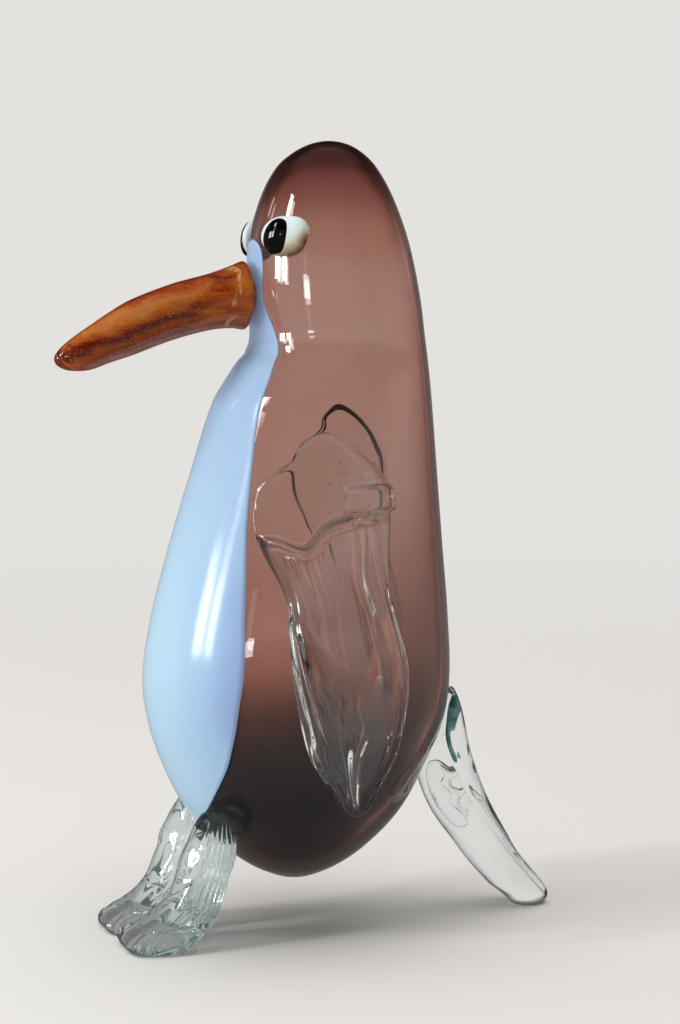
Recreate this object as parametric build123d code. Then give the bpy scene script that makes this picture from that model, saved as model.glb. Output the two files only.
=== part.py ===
from build123d import *
from math import cos, pi, radians, sin
import os

# Penguin figurine of blown and hot-worked glass. Lengths are in millimetres, angles in degrees.
# +Z is up, the penguin looks towards -Y and its left side is +X. It stands on z = 0, and the
# origin is under the middle of the whole figure.
# Each table of shares runs along one piece. Its columns are shares of the sizes named above it.

OVERRUN = 5.0
OVAL_POINTS = 8

# The left wing reaches further out than the right one, so the body's middle plane lies this far
# to the right of the origin.
BODY_ASIDE = 4.6

# The body is one blown bubble, head and body together, with a sealed hollow inside.
BODY_TALL = 271.5
BODY_CLEAR = 18.0
BODY_BACKSET = 6.3
HEAD_LEAN = 16.0
BELLY_HALF_DEPTH = 58.0
BELLY_HALF_WIDTH = 52.5
WALL = 3.2
PUNTY_RADIUS = 4.5
CROWN_RADIUS = 3.0
CROWN_LEAN_SHARE = 0.8
# Height, backward lean, half depth and half width of each level section, from the bottom up
BODY_SHARES = [
    (0.012, -0.05, 0.22, 0.22),
    (0.05, -0.04, 0.49, 0.49),
    (0.10, -0.06, 0.71, 0.71),
    (0.16, -0.05, 0.86, 0.86),
    (0.22, -0.01, 0.965, 0.965),
    (0.28, 0.0, 1.0, 1.0),
    (0.36, 0.08, 0.965, 0.975),
    (0.46, 0.24, 0.885, 0.90),
    (0.56, 0.44, 0.795, 0.815),
    (0.65, 0.64, 0.71, 0.725),
    (0.695, 0.84, 0.635, 0.665),
    (0.73, 1.0, 0.572, 0.625),
    (0.79, 0.91, 0.56, 0.59),
    (0.86, 0.80, 0.52, 0.55),
    (0.92, 0.75, 0.435, 0.46),
    (0.965, 0.74, 0.32, 0.34),
    (0.99, 0.78, 0.18, 0.19),
]

# The opal belly is a patch melted into the front of the bubble, a little proud of it.
PATCH_HALF_WIDTH = 42.0
PATCH_DEPTH = 1.6
PATCH_RISE = 0.4
PATCH_FOOT_SHARE = 0.085
PATCH_TOP_SHARE = 0.87
# Height between those two shares of the body, and half width
PATCH_SHARES = [
    (0.012, 0.16),
    (0.065, 0.56),
    (0.135, 0.83),
    (0.205, 0.96),
    (0.28, 1.0),
    (0.38, 0.935),
    (0.52, 0.78),
    (0.65, 0.64),
    (0.76, 0.52),
    (0.84, 0.34),
    (0.90, 0.215),
    (0.95, 0.21),
    (0.985, 0.13),
]

# The beak is clear amber over a copper core, one drop that bends down to its tip.
BEAK_BASE_RADIUS = 12.3
BEAK_REACH = 70.0
BEAK_DROP = 22.5
BEAK_STAND = 1.6
BEAK_JOINT_RADIUS = 9.2
BEAK_HEIGHT_SHARE = 0.793
CORE_RADIUS = 9.0
CORE_REACH = 62.0
# Reach from the base, drop, half height and half width
BEAK_SHARES = [
    (0.0, 0.0, 1.0, 1.0),
    (0.06, 0.02, 0.92, 0.92),
    (0.18, 0.10, 0.83, 0.82),
    (0.38, 0.26, 0.82, 0.79),
    (0.60, 0.51, 0.81, 0.76),
    (0.71, 0.66, 0.73, 0.69),
    (0.82, 0.83, 0.63, 0.59),
    (0.92, 0.94, 0.44, 0.42),
    (0.98, 0.99, 0.22, 0.22),
]

# Each eye is a domed white bead with a pointed outer corner, and a black bead set into its front.
LEFT_EYE_TURN = 40.0
RIGHT_EYE_TURN = 46.0
EYE_HEIGHT_SHARE = 0.87
EYE_HALF_LONG = 10.4
EYE_HALF_TALL = 7.1
EYE_DOME = 3.6
EYE_CORNER_LIFT = 1.6
# Place along the eye from its front, lift, half height and dome
EYE_SHARES = [
    (0.03, 0.0, 0.36, 0.36),
    (0.12, 0.0, 0.68, 0.68),
    (0.28, 0.0, 0.93, 0.93),
    (0.45, 0.0, 1.0, 1.0),
    (0.62, 0.05, 0.88, 0.90),
    (0.78, 0.25, 0.55, 0.62),
    (0.91, 0.60, 0.26, 0.36),
]
PUPIL_HALF_LONG = 5.6
PUPIL_HALF_TALL = 6.3
PUPIL_RISE = 0.8
PUPIL_FORWARD_SHARE = 0.28
PUPIL_DEEP_SHARE = 0.65

# Each wing is a clear gather, a pad melted on at the shoulder and a blade that hangs from it.
WING_TALL = 134.5
WING_HALF_WIDTH = 24.0
WING_HALF_THICK = 11.5
WING_STAND = 13.2
WING_FORWARD = 9.3
WING_TWIST = 10.5
WING_SEAT_SHARE = 0.52
WING_HANG_SHARE = 0.804
RIGHT_WING_HALF_WIDTH = 18.5
RIGHT_WING_TURN = 50.0
RIGHT_WING_LIFT = 6.5
# Height, distance forward, half width, stand-off from the shoulder, half thickness and twist
WING_SHARES = [
    (0.0, 0.29, 0.05, 0.80, 0.13, 0.75),
    (0.022, 0.34, 0.24, 0.86, 0.18, 0.73),
    (0.085, 0.39, 0.44, 0.90, 0.30, 0.68),
    (0.184, 0.46, 0.74, 0.95, 0.385, 0.58),
    (0.305, 0.52, 0.88, 1.0, 0.445, 0.44),
    (0.40, 0.56, 0.905, 0.89, 0.50, 0.20),
    (0.49, 0.72, 0.845, 0.71, 0.58, -0.06),
    (0.567, 0.75, 0.795, 0.38, 0.71, -0.47),
    (0.667, 0.90, 0.895, -0.14, 0.95, -0.88),
    (0.737, 1.0, 0.99, -0.36, 1.0, -1.0),
    (0.79, 0.99, 1.0, -0.45, 0.99, -1.0),
    (0.845, 0.935, 0.98, -0.52, 0.955, -1.0),
    (0.889, 0.81, 0.79, -0.49, 0.82, -1.0),
    (0.926, 0.69, 0.555, -0.42, 0.625, -1.0),
    (0.961, 0.86, 0.41, -0.40, 0.42, -1.0),
    (0.987, 0.935, 0.21, -0.41, 0.23, -1.0),
    (1.0, 1.0, 0.08, -0.41, 0.10, -1.0),
]

# Each foot is a clear gather drawn forward from the body and pressed flat where it stands.
FOOT_INTO = 32.0
FOOT_STEP = 23.5
FOOT_SINK = 4.0
FOOT_SIDE = 15.0
FOOT_HALF_LONG = 12.6
FOOT_HALF_WIDTH = 12.5
FOOT_SEAT_SHARE = 0.092
# Height, step forward, half length and half width
FOOT_SHARES = [
    (0.0, 1.0, 0.67, 0.68),
    (0.05, 0.936, 0.97, 0.95),
    (0.10, 0.855, 1.0, 1.0),
    (0.16, 0.668, 0.96, 0.97),
    (0.27, 0.46, 0.85, 0.92),
    (0.44, 0.268, 0.765, 0.85),
    (0.70, 0.09, 0.75, 0.80),
    (0.86, 0.02, 0.55, 0.70),
    (1.0, 0.0, 0.30, 0.45),
]

# The tail is a clear bar drawn back and down from the body until it rests behind the feet.
TAIL_INTO = 68.0
TAIL_STEP = 44.8
TAIL_HALF_DEPTH = 12.0
TAIL_HALF_WIDTH = 10.5
TAIL_SEAT_SHARE = 0.166
# Height, step back, half depth and half width
TAIL_SHARES = [
    (0.0, 1.0, 0.44, 0.50),
    (0.04, 0.98, 0.72, 0.80),
    (0.10, 0.873, 0.87, 0.92),
    (0.29, 0.585, 0.92, 1.0),
    (0.52, 0.317, 1.0, 1.0),
    (0.72, 0.199, 0.90, 0.86),
    (0.88, 0.22, 0.60, 0.60),
    (0.97, 0.252, 0.28, 0.30),
    (1.0, 0.27, 0.10, 0.10),
]
STREAK_RADIUS = 1.9
STREAK_LONG = 24.0
STREAK_TOP_SHARE = 0.945
STREAK_STEP_SHARE = 0.255


def oval(half_width, half_depth):
    """An elliptical face, drawn as one closed curve."""
    turns = [2 * pi * i / OVAL_POINTS for i in range(OVAL_POINTS)]
    points = [(half_width * cos(turn), half_depth * sin(turn)) for turn in turns]
    return make_face(Spline(*points, periodic=True))


def level_oval(side, fore_aft, height, half_width, half_depth):
    return Pos(side, fore_aft, height) * oval(half_width, half_depth)


def to_right(shape):
    return mirror(shape, about=Plane.YZ)


def body_height(share):
    return BODY_CLEAR + BODY_TALL * share


def body_at(height):
    """Fore-and-aft middle, half depth and half width of the body at a height."""
    share = (height - BODY_CLEAR) / BODY_TALL
    spans = zip(BODY_SHARES, BODY_SHARES[1:])
    low, high = next((low, high) for low, high in spans if share <= high[0])
    t = (share - low[0]) / (high[0] - low[0])
    lean, depth, width = (a + (b - a) * t for a, b in zip(low[1:], high[1:]))
    return HEAD_LEAN * lean - BODY_BACKSET, BELLY_HALF_DEPTH * depth, BELLY_HALF_WIDTH * width


def body_solid(grow=0.0):
    """The bubble's outer shape, grown evenly by the given thickness."""
    tall = BODY_TALL + 2 * grow
    clear = BODY_CLEAR - grow
    sections = [level_oval(0, -BODY_BACKSET, clear, PUNTY_RADIUS, PUNTY_RADIUS)]
    for height_share, lean_share, depth_share, width_share in BODY_SHARES:
        fore_aft = HEAD_LEAN * lean_share - BODY_BACKSET
        half_width = BELLY_HALF_WIDTH * width_share + grow
        half_depth = BELLY_HALF_DEPTH * depth_share + grow
        sections.append(level_oval(0, fore_aft, clear + tall * height_share, half_width, half_depth))
    crown = HEAD_LEAN * CROWN_LEAN_SHARE - BODY_BACKSET
    sections.append(level_oval(0, crown, clear + tall, CROWN_RADIUS, CROWN_RADIUS))
    return loft(sections)


def patch_solid():
    """The belly patch: a layer of the bubble's surface inside the patch's outline."""
    foot = body_height(PATCH_FOOT_SHARE)
    top = body_height(PATCH_TOP_SHARE)
    left = [(PATCH_HALF_WIDTH * width, foot + (top - foot) * height) for height, width in PATCH_SHARES]
    right = [(-x, z) for x, z in reversed(left)]
    outline = make_face(Spline((0, foot), *left, (0, top), *right, periodic=True))
    prism = extrude(Plane.XZ * outline, BODY_BACKSET + BELLY_HALF_DEPTH + OVERRUN)
    layer = body_solid(PATCH_RISE) - body_solid(-PATCH_DEPTH)
    return layer & prism


def beak_base():
    """The middle of the beak's base: how far forward and how high."""
    height = body_height(BEAK_HEIGHT_SHARE)
    fore_aft, half_depth, half_width = body_at(height)
    return fore_aft - half_depth - BEAK_STAND, height


def beak_drop(radius, long):
    """A drop along the beak's curve, with the given base radius and reach."""
    front, height = beak_base()
    drop = BEAK_DROP * long / BEAK_REACH
    sections = []
    for reach_share, drop_share, height_share, width_share in BEAK_SHARES:
        origin = (0, front - long * reach_share, height - drop * drop_share)
        place = Plane(origin=origin, x_dir=(1, 0, 0), z_dir=(0, -1, 0))
        sections.append(place * oval(radius * width_share, radius * height_share))
    return loft([*sections, Vertex(0, front - long, height - drop)])


def beak_joint():
    """The short neck of clear glass between the beak's base and the head."""
    front, height = beak_base()
    place = Plane(origin=(0, front, height), z_dir=(0, 1, 0))
    return extrude(place * Circle(BEAK_JOINT_RADIUS), BEAK_JOINT_RADIUS)


def eye_place(turn):
    """A plane on the left of the head, x along the eye towards its corner and z outwards."""
    height = body_height(EYE_HEIGHT_SHARE)
    fore_aft, half_depth, half_width = body_at(height)
    across = sin(radians(turn))
    ahead = cos(radians(turn))
    origin = (half_width * across, fore_aft - half_depth * ahead, height)
    along = Vector(half_width * ahead, half_depth * across, 0)
    return Plane(origin=origin, x_dir=along, z_dir=along.cross(Vector(0, 0, 1)))


def eye_blank():
    """The whole white bead, lying on its own plane."""
    sections = [Vertex(-EYE_HALF_LONG, 0, 0)]
    for along_share, lift_share, tall_share, dome_share in EYE_SHARES:
        along = EYE_HALF_LONG * (2 * along_share - 1)
        place = Plane(origin=(along, EYE_CORNER_LIFT * lift_share, 0), x_dir=(0, 1, 0), z_dir=(1, 0, 0))
        sections.append(place * oval(EYE_HALF_TALL * tall_share, EYE_DOME * dome_share))
    return loft([*sections, Vertex(EYE_HALF_LONG, EYE_CORNER_LIFT, 0)])


def pupil_blank():
    """The black bead, an ellipsoid that stands a little out of the white one."""
    half_deep = EYE_DOME * PUPIL_DEEP_SHARE
    bead = scale(Sphere(1), by=(PUPIL_HALF_LONG, PUPIL_HALF_TALL, half_deep))
    return Pos(-EYE_HALF_LONG * PUPIL_FORWARD_SHARE, 0, EYE_DOME + PUPIL_RISE - half_deep) * bead


def wing_blank(widest):
    """A left wing's gather of the given half width before the body is cut out of it."""
    seat = body_height(WING_SEAT_SHARE)
    foot = seat - WING_TALL * WING_HANG_SHARE
    middle, half_depth, half_width = body_at(seat)
    sections = []
    for height_share, ahead_share, width_share, stand_share, thick_share, twist_share in WING_SHARES:
        place = Pos(half_width + WING_STAND * stand_share, middle - WING_FORWARD * ahead_share,
                    foot + WING_TALL * height_share) * Rot(0, 0, WING_TWIST * twist_share)
        sections.append(place * oval(WING_HALF_THICK * thick_share, widest * width_share))
    return loft(sections)


def right_wing_blank():
    """The right wing's gather, mirrored, narrower and set further back and higher on the body."""
    middle, half_depth, half_width = body_at(body_height(WING_SEAT_SHARE))
    axis = Axis((0, middle, 0), (0, 0, 1))
    wing = to_right(wing_blank(RIGHT_WING_HALF_WIDTH))
    return Pos(0, 0, RIGHT_WING_LIFT) * wing.rotate(axis, -RIGHT_WING_TURN)


def foot_blank():
    """The left foot's gather, with its flat sole, before the body is cut out of it."""
    tall = BODY_CLEAR + FOOT_INTO
    fore_aft, half_depth, half_width = body_at(body_height(FOOT_SEAT_SHARE))
    ankle = fore_aft - half_depth + FOOT_SINK
    sections = []
    for height_share, step_share, long_share, width_share in FOOT_SHARES:
        half_width = FOOT_HALF_WIDTH * width_share
        half_long = FOOT_HALF_LONG * long_share
        sections.append(level_oval(FOOT_SIDE, ankle - FOOT_STEP * step_share, tall * height_share,
                                   half_width, half_long))
    return loft(sections)


def tail_root():
    """How far back the body's surface lies where the tail leaves it."""
    fore_aft, half_depth, half_width = body_at(body_height(TAIL_SEAT_SHARE))
    return fore_aft + half_depth


def tail_blank():
    """The tail's bar, with its flat rest, before the body is cut out of it."""
    tall = BODY_CLEAR + TAIL_INTO
    sections = []
    for height_share, step_share, depth_share, width_share in TAIL_SHARES:
        half_width = TAIL_HALF_WIDTH * width_share
        half_depth = TAIL_HALF_DEPTH * depth_share
        sections.append(level_oval(0, tail_root() + TAIL_STEP * step_share, tall * height_share,
                                   half_width, half_depth))
    return loft(sections)


def streak_solid():
    """The thread of coloured glass inside the tail's upper edge."""
    top = (BODY_CLEAR + TAIL_INTO) * STREAK_TOP_SHARE
    place = Pos(0, tail_root() + TAIL_STEP * STREAK_STEP_SHARE, top - STREAK_LONG)
    return place * extrude(Circle(STREAK_RADIUS), STREAK_LONG)


def write(name, shape):
    """Every piece is drawn about the body's middle plane and set aside with it."""
    export_step(Pos(-BODY_ASIDE, 0, 0) * shape, f"parts/{name}.step")


def write_eye(side, pupil, white):
    """Both beads of one eye, the white one cut to the head and to the pupil."""
    write(f"pupil_{side}", pupil - body)
    write(f"eye_white_{side}", white - body - (pupil - body))


os.makedirs("parts", exist_ok=True)
outer = body_solid()
patch = patch_solid()
body = outer + patch
write("belly_opal", patch)
write("body_bubble", outer - body_solid(-WALL) - patch)

core = beak_drop(CORE_RADIUS, CORE_REACH)
write("beak_core", core)
write("beak_casing", beak_drop(BEAK_BASE_RADIUS, BEAK_REACH) + beak_joint() - core - body)

left_eye = eye_place(LEFT_EYE_TURN)
right_eye = eye_place(RIGHT_EYE_TURN)
write_eye("left", left_eye * pupil_blank(), left_eye * eye_blank())
write_eye("right", to_right(right_eye * pupil_blank()), to_right(right_eye * eye_blank()))

write("wing_left", wing_blank(WING_HALF_WIDTH) - body)
write("wing_right", right_wing_blank() - body)

write("foot_left", foot_blank() - body)
write("foot_right", to_right(foot_blank()) - body)

streak = streak_solid()
write("tail", tail_blank() - body - streak)
write("tail_streak", streak)
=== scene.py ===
import bmesh
import bpy
from math import asin, atan2, copysign, cos, exp, hypot, pi, radians, sin, sqrt
from random import Random
from mathutils import Matrix, Vector, noise


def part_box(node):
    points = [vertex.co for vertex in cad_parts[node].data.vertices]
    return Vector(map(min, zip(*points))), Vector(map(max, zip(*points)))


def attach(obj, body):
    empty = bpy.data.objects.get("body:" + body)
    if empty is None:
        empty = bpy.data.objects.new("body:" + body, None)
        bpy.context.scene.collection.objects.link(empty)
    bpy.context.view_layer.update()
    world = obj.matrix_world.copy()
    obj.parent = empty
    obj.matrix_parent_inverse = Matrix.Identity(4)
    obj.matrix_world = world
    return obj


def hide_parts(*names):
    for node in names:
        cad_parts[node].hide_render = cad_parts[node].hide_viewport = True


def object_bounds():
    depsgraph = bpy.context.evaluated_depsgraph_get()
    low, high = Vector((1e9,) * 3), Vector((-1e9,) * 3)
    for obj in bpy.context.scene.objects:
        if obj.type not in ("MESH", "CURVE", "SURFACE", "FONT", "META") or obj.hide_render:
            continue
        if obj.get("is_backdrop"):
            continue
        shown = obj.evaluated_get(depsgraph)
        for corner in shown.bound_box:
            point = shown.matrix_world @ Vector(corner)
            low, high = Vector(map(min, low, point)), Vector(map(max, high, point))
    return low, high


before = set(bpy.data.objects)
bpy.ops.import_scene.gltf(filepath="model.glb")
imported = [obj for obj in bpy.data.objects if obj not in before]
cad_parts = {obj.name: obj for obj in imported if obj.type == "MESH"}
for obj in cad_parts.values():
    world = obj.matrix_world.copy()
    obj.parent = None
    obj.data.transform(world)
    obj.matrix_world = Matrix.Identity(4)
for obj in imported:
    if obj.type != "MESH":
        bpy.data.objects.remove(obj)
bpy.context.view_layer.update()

# The body is one bubble of clear glass blown over a thin plum-brown lining, head and body together.
# Its walls are drawn as an outer skin and a lining with the sealed hollow inside. A faint ring at
# the throat is the line left by the jacks that drew the neck in.
MM = 0.001
BODY_LOW, BODY_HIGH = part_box("body_bubble")
BODY_MIDDLE = (BODY_LOW + BODY_HIGH) / 2
BODY_HALF = (BODY_HIGH - BODY_LOW) / 2
BODY_TALL = BODY_HIGH.z - BODY_LOW.z
HEAD_LEAN = 16 * MM
WALL = 3.2 * MM
FLOOR_WALL = 5.0 * MM
CROWN_ROUND = 24 * MM
JACK_LINE_HEIGHT = 212 * MM
JACK_LINE_DEEP = 0.5 * MM
JACK_LINE_WIDE = 1.3 * MM
WAVE_DEEP = 0.15 * MM
WAVE_LONG = 38 * MM
SEED_RADIUS = 0.28 * MM
SEED_COUNT = 40
PLUM_DARK_FOOT = 50 * MM
# Height, backward lean, half depth and half width of each level section, from the bottom up
BODY_SHARES = [
    (0.0, -0.05, 0.0, 0.0),
    (0.012, -0.05, 0.22, 0.22),
    (0.05, -0.04, 0.49, 0.49),
    (0.10, -0.06, 0.71, 0.71),
    (0.16, -0.05, 0.86, 0.86),
    (0.22, -0.01, 0.965, 0.965),
    (0.28, 0.0, 1.0, 1.0),
    (0.36, 0.08, 0.965, 0.975),
    (0.46, 0.24, 0.885, 0.90),
    (0.56, 0.44, 0.795, 0.815),
    (0.65, 0.64, 0.71, 0.725),
    (0.695, 0.84, 0.635, 0.665),
    (0.73, 1.0, 0.572, 0.603),
    (0.79, 0.91, 0.56, 0.585),
    (0.86, 0.80, 0.52, 0.55),
    (0.92, 0.75, 0.435, 0.46),
    (0.965, 0.74, 0.32, 0.34),
    (0.99, 0.78, 0.18, 0.19),
    (1.0, 0.80, 0.0, 0.0),
]


def colour(text):
    """A linear colour from an sRGB hex code."""
    parts = [int(text[i:i + 2], 16) / 255 for i in (1, 3, 5)]
    return (*(c / 12.92 if c <= 0.04045 else ((c + 0.055) / 1.055) ** 2.4 for c in parts), 1.0)


def new_material(name):
    material = bpy.data.materials.new(name)
    material.use_nodes = True
    material.node_tree.nodes.clear()
    return material


def add(owner, kind, inputs, stops=(), **settings):
    """Adds a node: its settings, its inputs as values or links, and a ramp's stops as (place, hex)."""
    tree = owner.node_tree
    node = tree.nodes.new(kind)
    for key, value in settings.items():
        setattr(node, key, value)
    for place, text in stops[:-2]:
        node.color_ramp.elements.new(place)
    for element, (place, text) in zip(node.color_ramp.elements if stops else (), stops):
        element.position = place
        element.color = colour(text)
    for key, value in inputs.items():
        if isinstance(value, bpy.types.NodeSocket):
            tree.links.new(value, node.inputs[key])
        else:
            node.inputs[key].default_value = value
    return node


def between(rows, share):
    """One row of a table at a share along it, on smooth curves through the rows."""
    last = len(rows) - 2
    k = next((i for i in range(last) if share <= rows[i + 1][0]), last)
    before, low, high, after = rows[max(k - 1, 0)], rows[k], rows[k + 1], rows[min(k + 2, last + 1)]
    span = high[0] - low[0]
    t = min(max((share - low[0]) / span, 0), 1)
    values = []
    for a, b, c, d in zip(before[1:], low[1:], high[1:], after[1:]):
        leave = (c - a) / (high[0] - before[0]) * span
        arrive = (d - b) / (after[0] - low[0]) * span
        values.append((2 * t ** 3 - 3 * t ** 2 + 1) * b + (t ** 3 - 2 * t ** 2 + t) * leave
                      + (3 * t ** 2 - 2 * t ** 3) * c + (t ** 3 - t ** 2) * arrive)
    return values


def swell(rows, first):
    """The table with its half sizes squared, so that they grow from an end as round forms do."""
    return [(*row[:first], *(value ** 2 for value in row[first:])) for row in rows]


def size(value):
    """A half size back from its square."""
    return sqrt(max(value, 0))


def step(low, high, value):
    """0 below low, 1 above high, and a smooth rise between."""
    t = min(max((value - low) / (high - low), 0), 1)
    return t * t * (3 - 2 * t)


def form(bm, around, along, section):
    """A closed form: a sphere whose rings are moved on to the sections at their share along it."""
    made = bmesh.ops.create_uvsphere(bm, u_segments=around, v_segments=along, radius=1)["verts"]
    rings = {}
    for vertex in made:
        share = round((vertex.co.z + 1) / 2, 6)
        if share not in rings:
            rings[share] = section(share)
        vertex.co = rings[share](atan2(vertex.co.y, vertex.co.x))
    faces = list({face for vertex in made for face in vertex.link_faces})
    bm.normal_update()
    bmesh.ops.recalc_face_normals(bm, faces=faces)
    return faces


def seeds(bm, places, radius):
    """Tiny bubbles left in the glass. Their faces are turned in, because the air is inside them."""
    for place in places:
        where = Matrix.Translation(place)
        made = bmesh.ops.create_icosphere(bm, subdivisions=2, radius=radius, matrix=where)["verts"]
        bmesh.ops.reverse_faces(bm, faces=list({face for vertex in made for face in vertex.link_faces}))


def finish_piece(bm, name, nodes, slot, *materials):
    """Makes a smooth object of a mesh, riding on the figure and standing for its solids."""
    mesh = bpy.data.meshes.new(name)
    bm.to_mesh(mesh)
    bm.free()
    for material in materials:
        mesh.materials.append(material)
    mesh.shade_smooth()
    piece = bpy.data.objects.new(name, mesh)
    bpy.context.scene.collection.objects.link(piece)
    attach(piece, "root")
    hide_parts(*nodes)
    return piece


BODY_ROWS = swell(BODY_SHARES, 2)


def body_at(height):
    """Middle, half depth and half width of the body at a height."""
    lean, depth, width = between(BODY_ROWS, (height - BODY_LOW.z) / BODY_TALL)
    return BODY_MIDDLE.y + HEAD_LEAN * lean, BODY_HALF.y * size(depth), BODY_HALF.x * size(width)


def on_body(turn, height, inset=0.0):
    """A point of the body, or of a skin set into it, by its turn from the front towards the left."""
    middle, half_depth, half_width = body_at(height)
    return Vector((BODY_MIDDLE.x + (half_width - inset) * sin(turn),
                   middle - (half_depth - inset) * cos(turn), height))


def jack_line(height):
    """How deep the line of the jacks lies at a height."""
    return JACK_LINE_DEEP * exp(-((height - JACK_LINE_HEIGHT) / JACK_LINE_WIDE) ** 2)


def skin_section(share):
    """The outer skin, with the slow waves of hot glass and the line of the jacks."""
    height = BODY_LOW.z + BODY_TALL * share
    middle, half_depth, half_width = body_at(height)
    groove = jack_line(height)

    def point(turn):
        spot = Vector((half_width * sin(turn), -half_depth * cos(turn), height))
        inset = groove * step(-0.6, 0.4, cos(turn)) + WAVE_DEEP * (0.5 + 0.5 * noise.noise(spot / WAVE_LONG))
        return Vector((BODY_MIDDLE.x + max(half_width - inset, 0) * sin(turn),
                       middle - max(half_depth - inset, 0) * cos(turn), height))

    return point


def lining_section(share):
    """The wall thins as the skin closes, so the hollow keeps a round crown and a round floor."""
    height = BODY_LOW.z + FLOOR_WALL + (BODY_TALL - FLOOR_WALL - WALL) * share
    middle, half_depth, half_width = body_at(BODY_LOW.z + BODY_TALL * share)
    half_depth -= WALL * (1 - exp(-half_depth / CROWN_ROUND))
    half_width -= WALL * (1 - exp(-half_width / CROWN_ROUND))
    return lambda turn: Vector((BODY_MIDDLE.x + half_width * sin(turn),
                                middle - half_depth * cos(turn), height))


# Clear casing glass over the lining: colourless seen straight on. Seen at a slant it gathers the
# plum of the whole wall and then goes dark; that dark line round the body is painted shade, standing
# in for dark surroundings refracted at the rim. At the crown and the foot, where the wall closes, it
# looks plum straight on too, and near the foot it darkens further: partly pooled plum, partly painted shade.
casing_glass = new_material("clear_casing_glass")
slant = add(casing_glass, "ShaderNodeLayerWeight", {"Blend": 0.5})
# Painted shade: the dark line where the glass is seen at a slant
rim = add(casing_glass, "ShaderNodeValToRGB", {"Fac": slant.outputs["Facing"]}, stops=[
    (0.0, "#fbf9f8"), (0.34, "#f1e5e1"), (0.52, "#c48a7e"), (0.61, "#6a2c22"), (0.70, "#240806"),
    (1.0, "#140c0b")])
place = add(casing_glass, "ShaderNodeTexCoord", {})
spot = add(casing_glass, "ShaderNodeSeparateXYZ", {"Vector": place.outputs["Object"]})
rise = add(casing_glass, "ShaderNodeMath", {0: spot.outputs["Z"], 1: BODY_HIGH.z}, operation="DIVIDE")
# Plum at the crown; darker near the foot, partly pooled plum and partly painted shade
plum = add(casing_glass, "ShaderNodeValToRGB", {"Fac": rise.outputs["Value"]}, stops=[
    (0.10, "#4c332f"), (0.36, "#ffffff"), (0.90, "#ffffff"), (0.98, "#be8073")])
casing = add(casing_glass, "ShaderNodeMix", {
    "Factor": 1.0, "A": rim.outputs["Color"], "B": plum.outputs["Color"]},
    data_type="RGBA", blend_type="MULTIPLY")
shader = add(casing_glass, "ShaderNodeBsdfPrincipled", {
    "Base Color": casing.outputs["Result"], "Roughness": 0.0, "IOR": 1.5, "Specular IOR Level": 0.25,
    "Transmission Weight": 1.0})
add(casing_glass, "ShaderNodeOutputMaterial", {"Surface": shader.outputs["BSDF"]})

# Plum-brown lining: manganese glass, thin on the head and nearly black where it pools at the floor of the
# bubble, that dark foot being partly denser plum and partly painted shade. The lower back is darkened
# further with painted shade, for the side turned from the light.
plum_glass = new_material("plum_brown_glass")
place = add(plum_glass, "ShaderNodeTexCoord", {})
spot = add(plum_glass, "ShaderNodeSeparateXYZ", {"Vector": place.outputs["Object"]})
cloud = add(plum_glass, "ShaderNodeTexNoise", {"Vector": place.outputs["Object"], "Scale": 1 / (45 * MM),
                                               "Detail": 2.0})
drift = add(plum_glass, "ShaderNodeMath", {0: cloud.outputs["Fac"], 1: 14 * MM, 2: spot.outputs["Z"]},
            operation="MULTIPLY_ADD")
depth = add(plum_glass, "ShaderNodeMapRange", {"Value": drift.outputs["Value"], "From Min": PLUM_DARK_FOOT,
                                               "From Max": BODY_HIGH.z})
tint = add(plum_glass, "ShaderNodeValToRGB", {"Fac": depth.outputs["Result"]}, stops=[
    (0.0, "#0c0403"), (0.06, "#180806"), (0.11, "#3a130c"), (0.17, "#8e462f"), (0.25, "#ac7566"),
    (0.5, "#bb8f82"), (0.7, "#ba8e81"), (0.88, "#b58475"), (1.0, "#8f5f57")])
# Painted shade: the lower back, turned from the light, is darkened
slope = add(plum_glass, "ShaderNodeMath", {0: spot.outputs["Z"], 1: -0.35, 2: spot.outputs["Y"]},
            operation="MULTIPLY_ADD")
behind = add(plum_glass, "ShaderNodeMapRange", {"Value": slope.outputs["Value"], "From Min": -34 * MM,
                                                "From Max": 26 * MM}, interpolation_type="SMOOTHSTEP")
plum_with_painted_shade = add(plum_glass, "ShaderNodeMix", {"Factor": behind.outputs["Result"], "A": tint.outputs["Color"],
                                          "B": colour("#4e3026")}, data_type="RGBA", blend_type="MULTIPLY")
shader = add(plum_glass, "ShaderNodeBsdfPrincipled", {
    "Base Color": plum_with_painted_shade.outputs["Result"], "Roughness": 0.0, "IOR": 1.5, "Specular IOR Level": 0.15,
    "Transmission Weight": 1.0})
add(plum_glass, "ShaderNodeOutputMaterial", {"Surface": shader.outputs["BSDF"]})

bm = bmesh.new()
form(bm, 128, 220, skin_section)
hollow = form(bm, 128, 200, lining_section)
bmesh.ops.reverse_faces(bm, faces=hollow)
for face in hollow:
    face.material_index = 1
chance = Random(11)
seeds(bm, [on_body(chance.uniform(0.5, 5.8), chance.uniform(60, 265) * MM, chance.uniform(1.0, 2.2) * MM)
           for _ in range(SEED_COUNT)], SEED_RADIUS)
finish_piece(bm, "blown_body", ["body_bubble"], "plum_glass", casing_glass, plum_glass)

# The belly is a gather of opal glass laid on the front of the bubble and blown out with it, so it
# is a thin milky layer, fire polished almost flush with the clear skin round it.
OPAL_PROUD = 0.05 * MM
OPAL_FAR_WIDER = 0.5
OPAL_THICK = 0.5 * MM
OPAL_HALF_WIDTH = 42 * MM
OPAL_FOOT = BODY_LOW.z + 0.085 * BODY_TALL
OPAL_TOP = BODY_LOW.z + 0.868 * BODY_TALL
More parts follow.
